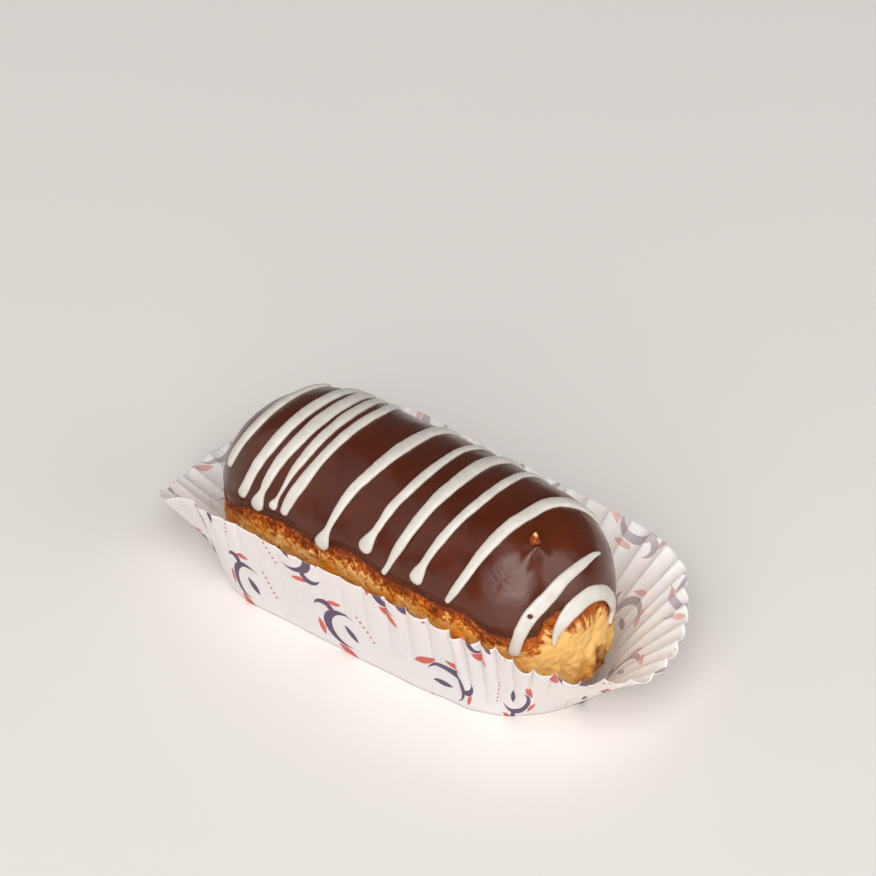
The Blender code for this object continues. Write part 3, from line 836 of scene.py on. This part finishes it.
@dataclass
class ChocolateIcing:
    """The icing over the top: a skin that thins to a soft edge and rises round the piped tip.

    Places on it are millimetres along X and degrees up and over from the near side, and a
    dent has its depth in millimetres besides.
    """

    form: EclairForm
    columns: int = 440
    rows_out: int = 116
    rows_lip: int = 6
    rows_in: int = 10
    sag: float = 0.2 * MM
    sag_size: float = 13.0 * MM
    edge_dip: float = 0.62 * MM
    edge_wobble: float = 0.6
    lip_drop: float = 0.9
    skin: float = 0.12 * MM
    peak: tuple[float, float] = (48.5, 71.5)
    peak_rise: float = 2.2 * MM
    peak_reach: float = 3.6 * MM
    ridges: tuple[tuple[float, float], ...] = ((49.3, 50.0), (53.4, 70.0))
    ridge_rise: float = 1.0 * MM
    ridge_width: float = 1.5 * MM
    dimple: tuple[float, float] = (46.1, 42.3)
    dimple_depth: float = 0.26 * MM
    dimple_reach: float = 3.0 * MM
    dimple_folds: int = 5
    dimple_wander: float = 1.1
    clouds: tuple[tuple[float, float], ...] = (
        (-17.3, 45.5), (-5.7, 42.7), (12.2, 42.5), (1.5, 35.0), (44.5, 40.0), (33.0, 30.0),
    )
    cloud_reach: float = 5.5 * MM
    dents: tuple[tuple[float, float, float], ...] = (
        (-14.8, 45.5, 0.32), (-3.2, 42.0, 0.38), (14.6, 41.5, 0.52),
    )
    dent_reach: float = 3.7 * MM

    def build(self) -> None:
        """Makes the icing and dresses it."""
        rows = self.rows_out + self.rows_lip + self.rows_in
        piece = Sculptor.grid("chocolate_glaze", self.columns, rows)
        across, up = Sculptor.parts(piece)
        bearing = across * 360.0
        level = self.form.at(bearing, np.zeros_like(bearing), 0.0)
        edge = self.form.edge(bearing) + self.edge_wobble * noise_at(level, 2.6 * MM, 5.0)
        row = up * rows
        out = np.clip(row / self.rows_out, 0.0, 1.0)
        lip = np.clip((row - self.rows_out) / self.rows_lip, 0.0, 1.0)
        back = np.clip((row - self.rows_out - self.rows_lip) / self.rows_in, 0.0, 1.0)
        elevation = 90.0 + (edge - 90.0) * out**0.9
        thick = self.form.icing_thickness
        roll = np.pi * lip
        elevation = elevation - self.lip_drop * np.sin(roll)
        elevation = np.where(back > 0.0, edge + (90.0 - edge) * back, elevation)
        place = self.form.at(bearing, elevation, 0.0)
        relief = self.relief(place)
        dip = self.edge_dip * smoothstep(5.0, 0.0, elevation - edge) ** 1.5
        outer = self.skin + dip - relief
        inset = outer + (thick - outer) * (0.5 - 0.5 * np.cos(roll))
        inset = np.where(back > 0.0, thick, inset)
        Sculptor.place(piece, self.form.at(bearing, elevation, inset))
        Sculptor.mark(piece, "cloud", self.cloudy(place))
        Sculptor.close(piece)
        Sculptor.finish(piece, ChocolateFinish().build(), Slot.ICING, "chocolate_icing")

    def cloudy(self, place: Grid) -> Grid:
        """How dull the icing is at points of the form, from 0 to 1."""
        best = np.zeros(len(place))
        ragged = 0.35 * noise_at(place, 4.0 * MM, 3.3)
        for cloud in self.clouds:
            away = np.linalg.norm(place - self.form.spot(*cloud)[0], axis=-1)
            best = np.maximum(best, smoothstep(1.15, 0.35, away / self.cloud_reach + ragged))
        return best

    def relief(self, place: Grid) -> Grid:
        """How far the icing stands out, with its sag, dents, cone, ridges and dimple.

        Args:
            place: points on the outer form.

        Returns:
            Heights in metres.
        """
        relief = self.sag * noise_at(place, self.sag_size, 2.0)
        relief += 0.3 * self.sag * noise_at(place, self.sag_size / 3.0, 6.0)
        ragged = 1.0 + 0.25 * noise_at(place, 4.0 * MM, 7.1)
        for x, over, depth in self.dents:
            away = np.linalg.norm(place - self.form.spot(x, over)[0], axis=-1) * ragged
            relief -= depth * MM * np.exp(-((away / self.dent_reach) ** 2))
        top = self.form.spot(*self.peak)[0]
        away = np.linalg.norm(place - top, axis=-1)
        relief += self.peak_rise * np.exp(-((away / self.peak_reach) ** 1.4))
        for ridge in self.ridges:
            way = self.form.spot(*ridge)[0] - top
            part = np.clip((place - top) @ way / (way @ way), 0.0, 1.0)
            off = np.linalg.norm(place - top - part[:, None] * way, axis=-1)
            rise = self.ridge_rise * (1.0 - part) * smoothstep(0.0, 0.15, part)
            relief += rise * np.exp(-((off / self.ridge_width) ** 2))
        return relief - self.pucker(place)

    def pucker(self, place: Grid) -> Grid:
        """How deep the folds of the dimple beside the tip lie, in metres."""
        spot, out = self.form.spot(*self.dimple)
        gap = place - spot
        away = np.linalg.norm(gap, axis=-1)
        side = np.cross(out, (0.0, 0.0, 1.0))
        angle = np.arctan2(gap @ np.cross(out, side), gap @ side)
        angle = angle + self.dimple_wander * noise_at(place, 2.4 * MM, 9.3)
        fold = np.cos(self.dimple_folds * angle + 1.9 * np.sin(angle + 0.7)) ** 3
        deep = self.dimple_depth * (0.35 + 0.65 * fold)
        deep = deep * np.exp(-((away / self.dimple_reach) ** 2))
        return deep * smoothstep(0.0, 0.5 * MM, away)


@dataclass
class WhiteDrizzle:
    """Beads of white chocolate piped to and fro over the icing.

    Each stripe is a row of stations: place along X in millimetres, angle up and over from the
    near side, and the bead's width there in millimetres. The loop is placed by bearing and
    elevation. The pit is a small air hole.
    """

    form: EclairForm
    rise: float = 0.85 * MM
    root: float = 1.0 * MM
    around: int = 20
    steps: int = 120
    pit: tuple[float, float] = (54.6, 28.8)
    pit_radius: float = 1.2 * MM
    pit_depth: float = 1.3 * MM
    mm_per_degree: float = 0.45
    stripes: tuple[tuple[tuple[float, float, float], ...], ...] = (
        ((-50.8, 29, 2.8), (-50.7, 36, 3.5), (-49.4, 51, 3.7), (-48.2, 64, 3.6), (-47.6, 80, 3.4),
         (-47.2, 95, 3.2), (-46.0, 124, 2.6)),
        ((-41.9, 18, 3.4), (-40.6, 26, 3.1), (-39.4, 40, 3.4), (-38.0, 55, 3.6), (-37.2, 73, 3.8),
         (-36.9, 88, 3.7), (-36.8, 105, 3.4), (-37.2, 138, 2.6)),
        ((-35.6, 15, 4.6), (-35.2, 20, 4.3), (-34.6, 27, 2.2), (-34.1, 33, 2.7), (-32.9, 48, 3.5),
         (-31.5, 64, 4.0), (-31.1, 80, 4.4), (-31.1, 92, 4.5), (-31.5, 107, 4.0), (-34.6, 142, 2.6)),
        ((-30.1, 20, 2.8), (-29.7, 23, 2.6), (-28.9, 28, 1.1), (-28.1, 35, 1.3), (-27.3, 46, 2.2),
         (-26.3, 58, 3.0), (-25.8, 76, 3.2), (-25.9, 90, 3.4), (-26.6, 107, 3.0), (-30.0, 140, 2.2)),
        ((-25.9, 20, 2.4), (-25.2, 26, 3.0), (-24.0, 35, 3.6), (-22.9, 42, 3.6), (-21.8, 53, 3.1),
         (-20.8, 69, 3.1), (-20.5, 83, 3.3), (-20.6, 96, 3.2), (-21.3, 110, 3.0),
         (-26.0, 142, 2.2)),
        ((-11.4, 12.5, 4.6), (-10.8, 17.5, 4.4), (-9.9, 25, 1.9), (-8.5, 37, 2.6), (-6.7, 53, 3.2),
         (-5.3, 62, 3.6), (-4.3, 73, 4.0), (-3.7, 85, 4.5), (-3.4, 96, 4.4), (-3.6, 108, 4.0),
         (-4.0, 145, 2.6)),
        ((3.0, 22, 4.6), (3.7, 27, 4.4), (4.9, 34.5, 2.4), (5.8, 41, 2.5), (6.9, 53, 2.9),
         (8.3, 65, 2.9), (9.1, 80, 2.9), (9.1, 93, 2.6), (8.8, 105, 2.4), (8.5, 142, 2.0)),
        ((10.8, 16, 1.6), (12.2, 22, 1.9), (13.4, 30, 2.7), (14.8, 40, 3.0), (16.2, 53, 3.4),
         (17.3, 68, 3.9), (18.0, 82, 4.3), (17.9, 95, 4.4), (17.8, 108, 4.1), (18.5, 148, 2.6)),
        ((21.3, 19.5, 4.5), (22.0, 24.5, 4.3), (22.9, 31, 2.5), (23.8, 38, 2.4), (25.4, 50, 2.8),
         (26.9, 64, 2.8), (28.0, 77, 2.9), (28.2, 89, 2.9), (28.1, 101, 2.7), (27.7, 114, 2.3),
         (28.0, 146, 1.8)),
        ((32.6, 18, 1.5), (34.5, 26, 2.4), (36.5, 37, 2.7), (38.0, 50, 3.1), (39.2, 62, 3.4),
         (40.2, 75, 3.5), (41.2, 86, 3.6), (41.9, 99, 3.8), (43.4, 111, 3.8), (45.0, 122, 3.2),
         (47.5, 143, 2.4)),
        ((52.3, 1, 3.0), (52.8, 8, 3.4), (53.5, 17, 3.7), (54.5, 28, 4.2), (55.8, 40, 4.3),
         (56.7, 52, 4.2), (57.1, 67, 3.6), (57.4, 83, 3.1), (57.3, 97, 2.4), (56.9, 110, 1.6),
         (56.7, 119, 0.8)),
    )
    loop: tuple[tuple[float, float, float], ...] = (
        (-19.6, 6.5, 0.7), (-18.5, 13.6, 2.0), (-16.3, 18.9, 3.6), (-12.3, 24.4, 4.9),
        (-6.5, 27.8, 5.2), (0.6, 28.2, 5.0), (8.0, 23.2, 4.4), (12.6, 14.5, 3.8),
        (14.4, 6.0, 2.8), (12.9, 1.2, 1.8), (10.9, -1.4, 0.9),
    )

    def build(self) -> None:
        """Makes every bead, joins them into one piece and dresses it."""
        beads = [self.bead(f"bead_{number}", *self.over_path(stripe))
                 for number, stripe in enumerate(self.stripes)]
        beads.append(self.bead("bead_loop", *self.loop_path()))
        Sculptor.clear_selection()
        for bead in beads:
            bead.select_set(True)
        bpy.context.view_layer.objects.active = beads[0]
        bpy.ops.object.join()
        piece = bpy.context.active_object
        piece.name = piece.data.name = "white_drizzle"
        Sculptor.finish(piece, DrizzleFinish().build(), Slot.ICING, "chocolate_icing")

    def stations(self, keys: tuple[tuple[float, float, float], ...]) -> Grid:
        """Runs a smooth path through a stripe's stations.

        Args:
            keys: the stations.

        Returns:
            A row for each step: the two places and the width.
        """
        table = np.array(keys, float)
        scaled = table[:, :2] * np.array([1.0, self.mm_per_degree])
        lengths = np.concatenate([[0.0], np.cumsum(np.linalg.norm(np.diff(scaled, axis=0), axis=1))])
        steps = np.linspace(0.0, lengths[-1], self.steps + 1)
        ends = np.vstack([2 * table[0] - table[1], table, 2 * table[-1] - table[-2]])
        index = np.clip(np.searchsorted(lengths, steps, side="right") - 1, 0, len(table) - 2)
        part = ((steps - lengths[index]) / np.diff(lengths)[index])[:, None]
        before, here, after, later = (ends[index + i] for i in range(4))
        return 0.5 * (2 * here + (after - before) * part
                      + (2 * before - 5 * here + 4 * after - later) * part**2
                      + (3 * here - before - 3 * after + later) * part**3)

    def over_path(self, stripe: tuple[tuple[float, float, float], ...]) -> tuple[Grid, Grid, Grid]:
        """The middle line of a stripe, the way out along it, and its widths."""
        rows = self.stations(stripe)
        x, over = rows[:, 0] * MM, rows[:, 1]
        return self.form.over(x, over), self.form.out_of(x, over), rows[:, 2] * MM

    def loop_path(self) -> tuple[Grid, Grid, Grid]:
        """The same for the arc that hangs round the top of the bare front end."""
        rows = self.stations(self.loop)
        points = self.form.at(rows[:, 0], rows[:, 1], 0.0)
        start = self.form.spine(rows[:, 0], self.form.core)[0]
        base = np.stack([start, np.zeros_like(start), np.zeros_like(start)], -1) + self.form.origin
        out = points - base
        return points, out / np.linalg.norm(out, axis=-1, keepdims=True), rows[:, 2] * MM

    def bead(self, name: str, line: Grid, out: Grid, width: Grid) -> bpy.types.Object:
        """Sweeps the bead's low round section along a line.

        Args:
            name: the bead's name.
            line: its middle line on the icing.
            out: the way out of the icing along it.
            width: its width along it.

        Returns:
            The closed bead.
        """
        piece = Sculptor.grid(name, self.around, self.steps)
        across, up = Sculptor.parts(piece)
        step = np.rint(up * self.steps).astype(int)
        ahead = np.gradient(line, axis=0)
        ahead /= np.linalg.norm(ahead, axis=-1, keepdims=True)
        side = np.cross(ahead, out)
        side /= np.linalg.norm(side, axis=-1, keepdims=True)
        reach = np.concatenate([[0.0], np.cumsum(np.linalg.norm(np.diff(line, axis=0), axis=1))])
        tip = np.minimum(reach, reach[-1] - reach) / (width / 2)
        round_end = np.sqrt(np.clip(1.0 - (1.0 - np.clip(tip, 0.0, 1.0)) ** 2, 0.0, 1.0))
        uneven = 1.0 + 0.1 * noise_at(line, 5.0 * MM, 9.0) + 0.05 * noise_at(line, 1.6 * MM, 4.0)
        half = (width / 2 * round_end * uneven)[step]
        tall = (self.rise * np.clip(width / (3.0 * MM), 0.6, 1.15) * round_end * uneven)[step]
        turn = across * 2.0 * np.pi
        rise = np.sin(turn)
        lift = np.where(rise > 0.0, tall * np.abs(rise) ** 0.75,
                        -self.root * round_end[step] * np.abs(rise))
        level = half * np.cos(turn) * np.where(rise > 0.0, 1.0, 1.0 - 0.25 * np.abs(rise))
        points = line[step] + side[step] * level[:, None] + out[step] * lift[:, None]
        hole = self.form.spot(*self.pit)[0]
        away = np.linalg.norm(points - hole - out[step] * self.rise, axis=-1)
        sunk = self.pit_depth * smoothstep(self.pit_radius, 0.55 * self.pit_radius, away)
        points -= out[step] * sunk[:, None]
        Sculptor.place(piece, points)
        Sculptor.close(piece)
        return piece


@dataclass
class PipingTip:
    """The tip of the piped choux, standing up through the icing near the front."""

    form: EclairForm
    foot: tuple[float, float] = (48.5, 71.5)
    radius: float = 1.5 * MM
    height: float = 5.4 * MM
    upright: float = 0.7
    raised: float = 3.2 * MM
    ridges: int = 3
    ridge_depth: float = 0.12
    twist: float = 1.2

    def build(self) -> None:
        """Makes the tip from a ball drawn out to a twisted point."""
        Sculptor.clear_selection()
        bpy.ops.mesh.primitive_uv_sphere_add(segments=36, ring_count=24, radius=1.0)
        piece = bpy.context.active_object
        piece.name = piece.data.name = "piping_tip"
        points = np.array([vert.co for vert in piece.data.vertices])
        turn = np.arctan2(points[:, 1], points[:, 0]) + self.twist * points[:, 2]
        rise = points[:, 2].copy()
        slim = 1.0 - 0.62 * smoothstep(-0.3, 1.0, rise)
        slim *= 1.0 + self.ridge_depth * np.cos(self.ridges * turn)
        points[:, :2] *= (slim * self.radius)[:, None]
        points[:, 2] *= self.height / 2
        spot, out = self.form.spot(*self.foot)
        up = Vector(out).lerp(Vector((0.0, 0.0, 1.0)), self.upright).normalized()
        spin = np.array(Vector((0.0, 0.0, 1.0)).rotation_difference(up).to_matrix())
        Sculptor.place(piece, points @ spin.T + spot + np.array(up) * self.raised)
        Sculptor.mark(piece, "toast", 1.0 - 0.85 * smoothstep(0.1, 0.75, rise))
        for name in ("front", "streak", "burnt", "ray_x", "ray_y", "ray_out"):
            Sculptor.mark(piece, name, np.zeros(len(points)))
        Sculptor.close(piece)
        Sculptor.finish(piece, ChouxFinish().build(), Slot.CHOUX, "choux_shell")


@dataclass
class PaperCase:
    """The pleated paper case, upright beside the eclair and fanned out at both ends.

    Each key of the wall is a bearing, the floor's radius and the flutes' depth there in
    millimetres, and how far the wall leans out at its foot and at its rim in degrees.
    """

    form: EclairForm
    centre_x: float = 1.0 * MM
    half: float = 37.0 * MM
    slant: float = 30.5 * MM
    thickness: float = 0.16 * MM
    flutes: int = 60
    steps_per_flute: int = 14
    rows: int = 30
    tuck: float = 0.15
    tuck_bearing: float = 190.0
    tuck_reach: float = 18.0
    bends: int = 20
    flute_width_mm: float = 7.0
    hem_mm: float = 3.0
    wall: tuple[tuple[float, ...], ...] = (
        (0, 23.8, 1.6, 40, 52), (15, 24.0, 1.7, 38, 48), (29, 25.0, 1.8, 34, 42),
        (43, 26.0, 1.9, 39, 47), (60, 26.0, 1.9, 42, 48), (75, 26.0, 1.7, 40, 45),
        (90, 26.0, 0.8, 38, 44), (120, 26.0, 0.5, 36, 42), (145, 25.0, 0.9, 50, 55),
        (163, 24.0, 1.4, 84, 74), (180, 23.0, 1.5, 78, 74), (195, 22.0, 1.5, 64, 54),
        (208, 25.1, 1.0, 38, 43), (222, 28.0, 0.6, 15, 18), (240, 29.2, 0.4, 8, 9),
        (255, 28.2, 0.4, 10, 11), (270, 27.6, 0.5, 8, 10), (285, 26.6, 1.2, 7, 9),
        (300, 24.6, 2.2, 8, 12), (314, 23.2, 2.2, 10, 13), (332, 22.2, 2.0, 22, 32),
        (345, 22.2, 1.6, 34, 42),
    )

    def build(self) -> None:
        """Makes the case and dresses it."""
        columns = self.flutes * self.steps_per_flute
        piece = Sculptor.grid("paper_cup", columns, 2 * self.rows + 1)
        across, up = Sculptor.parts(piece)
        row = np.rint(up * (2 * self.rows + 1))
        inner = row > self.rows
        part = np.where(inner, (2 * self.rows + 1 - row) / self.rows, row / self.rows)
        bearing = across * 360.0
        inwards = np.where(inner, self.thickness, 0.0)
        Sculptor.place(piece, self.wall_points(bearing, part, inwards))
        # The inside mark makes the material paint the inner face lighter, as painted light, and
        # print it fainter.
        Sculptor.mark(piece, "inside", inner.astype(float))
        round_mm = across * self.flutes * self.flute_width_mm
        Sculptor.store_uv(piece, round_mm, part * self.slant / MM + self.hem_mm)
        Sculptor.close(piece, fill=True)
        Sculptor.finish(piece, PaperFinish().build(), Slot.PAPER, "paper_case")

    def wall_points(self, bearing: Grid, part: Grid, inwards: Grid) -> Grid:
        """Points on the wall.

        Args:
            bearing: which way round.
            part: how far up the slant, from 0 to 1.
            inwards: how far from the outer face towards the eclair.

        Returns:
            The points in the frame.
        """
        radius, depth, foot, rim = ring_values(self.wall, bearing)
        start, turn = self.form.spine(bearing, self.half)
        tucked = np.exp(-(((bearing - self.tuck_bearing) / self.tuck_reach) ** 2))
        slant = self.slant * (1.0 - self.tuck * tucked)
        reach, height = radius * MM, np.zeros_like(part)
        lean = foot.copy()
        for step in range(self.bends):
            here = foot + (rim - foot) * (step + 0.5) / self.bends
            lean = np.where((step + 0.5) / self.bends <= part, here, lean)
            stretch = np.clip(part * self.bends - step, 0.0, 1.0) * slant / self.bends
            leaning = np.radians(here)
            reach = reach + stretch * np.sin(leaning)
            height = height + stretch * np.cos(leaning)
        flute = self.flute_depth(bearing, depth) * part**1.3
        lean = np.radians(lean)
        shift = flute - inwards
        reach = reach + shift * np.cos(lean)
        height = height - shift * np.sin(lean)
        height = np.maximum(np.where(part == 0.0, inwards, height), inwards)
        points = np.stack([start + reach * np.cos(turn), reach * np.sin(turn), height], -1)
        return points + np.array([self.centre_x, 0.0, 0.0]) + CAD_SHIFT

    def flute_depth(self, bearing: Grid, depth: Grid) -> Grid:
        """Round lobes with sharp creases between them, each a little unlike the next."""
        phase = bearing * self.flutes / 360.0
        number = np.floor(np.round(phase, 5))
        phase = np.clip(phase - number, 0.0, 1.0)
        uneven = 1.0 + 0.25 * np.sin(number * 2.4) * np.sin(number * 0.9 + 1.0)
        return depth * MM * uneven * np.sin(np.pi * phase) ** 0.6


@dataclass
class Studio:
    """The floor, the soft light and the camera.

    The camera stands as the photo's did: its turn, height and frame were solved from the
    photo, and origin_pixel is where the middle of the case's floor line falls in the frame.
    A softbox is a name, its direction and distance, its width and height, its watts and how
    far it is turned in its own plane.
    """

    turn: float = 41.0
    elevation: float = 36.5
    focal_pixels: float = 4500.0
    pixels_per_metre: float = 3600.0
    origin_pixel: tuple[float, float] = (416.0, 606.0)
    frame_pixels: float = 876.0
    sensor: float = 36.0
    floor_size: float = 6.0
    room_light: float = 0.15
    softboxes: tuple[tuple, ...] = (
        ("key", (0.408, -0.562, 0.719), 3.0, (2.7, 3.6), 108.0, -22.0),
        ("low", (0.398, -0.894, 0.215), 3.0, (2.2, 1.1), 16.0, 0.0),
        ("side", (-0.78, -0.42, 0.46), 1.4, (1.5, 1.5), 3.5, 0.0),
        ("front", (0.93, 0.16, 0.28), 1.7, (1.4, 1.4), 11.0, 0.0),
    )

    def build(self) -> None:
        """Sets the stage, the lights and the camera."""
        self.floor()
        self.lights()
        self.camera()

    def floor(self) -> None:
        """A plain pale floor under the case."""
        Sculptor.clear_selection()
        bpy.ops.mesh.primitive_plane_add(size=self.floor_size)
        floor = bpy.context.active_object
        floor.name = "floor"
        floor.data.materials.append(FloorFinish().build())

    def lights(self) -> None:
        """A large soft key from the front right, and weaker ones low down, left and at the end."""
        scene = bpy.context.scene
        scene.view_settings.view_transform = "Standard"
        world = bpy.data.worlds.new("white_room")
        world.use_nodes = True
        back = world.node_tree.nodes["Background"]
        back.inputs["Color"].default_value = (1.0, 0.985, 0.97, 1.0)
        back.inputs["Strength"].default_value = self.room_light
        scene.world = world
        for row in self.softboxes:
            self.softbox(*row)

    @staticmethod
    def softbox(name: str, way: tuple[float, float, float], away: float,
                size: tuple[float, float], power: float, roll: float) -> None:
        """Adds a nearly white light box that faces the eclair.

        Args:
            name: the light's name.
            way: its direction from the eclair.
            away: its distance.
            size: its width and height.
            power: its power in watts.
            roll: how far it is turned in its own plane.
        """
        place = Vector(way).normalized() * away
        bpy.ops.object.light_add(type="AREA", location=place)
        light = bpy.context.active_object
        light.name = name
        light.data.shape = "RECTANGLE"
        light.data.size, light.data.size_y = size
        light.data.energy = power
        light.data.color = (1.0, 0.98, 0.96)
        spin = Quaternion((0.0, 0.0, 1.0), math.radians(roll))
        light.rotation_euler = (place.to_track_quat("Z", "Y") @ spin).to_euler()

    def camera(self) -> None:
        """Places the camera by the photo's geometry, with no roll and no shift."""
        turn, lift = math.radians(self.turn), math.radians(self.elevation)
        back = Vector((math.sin(turn) * math.cos(lift), -math.cos(turn) * math.cos(lift),
                       math.sin(lift)))
        right = Vector((math.cos(turn), math.sin(turn), 0.0))
        up = back.cross(right)
        away = self.focal_pixels / self.pixels_per_metre
        middle = self.frame_pixels / 2
        left = (self.origin_pixel[0] - middle) / self.focal_pixels * away
        drop = -(self.origin_pixel[1] - middle) / self.focal_pixels * away
        place = Vector(CAD_SHIFT) - right * left - up * drop + back * away
        bpy.ops.object.camera_add(location=place)
        camera = bpy.context.active_object
        camera.rotation_euler = Matrix((right, up, back)).transposed().to_euler()
        camera.data.sensor_width = self.sensor
        camera.data.lens = self.sensor * self.focal_pixels / self.frame_pixels
        camera.data.clip_start, camera.data.clip_end = 0.05, 30.0
        bpy.context.scene.camera = camera


def main() -> None:
    """Builds the eclair, its case and the studio, in order."""
    logging.basicConfig(level=logging.INFO, format="%(name)s %(message)s")
    form = EclairForm()
    for part in (ChouxPastry(form), ChocolateIcing(form), WhiteDrizzle(form),
                 PipingTip(form), PaperCase(form), Studio()):
        part.build()
        LOG.info("built %s", type(part).__name__)


if __name__ == "__main__":
    main()
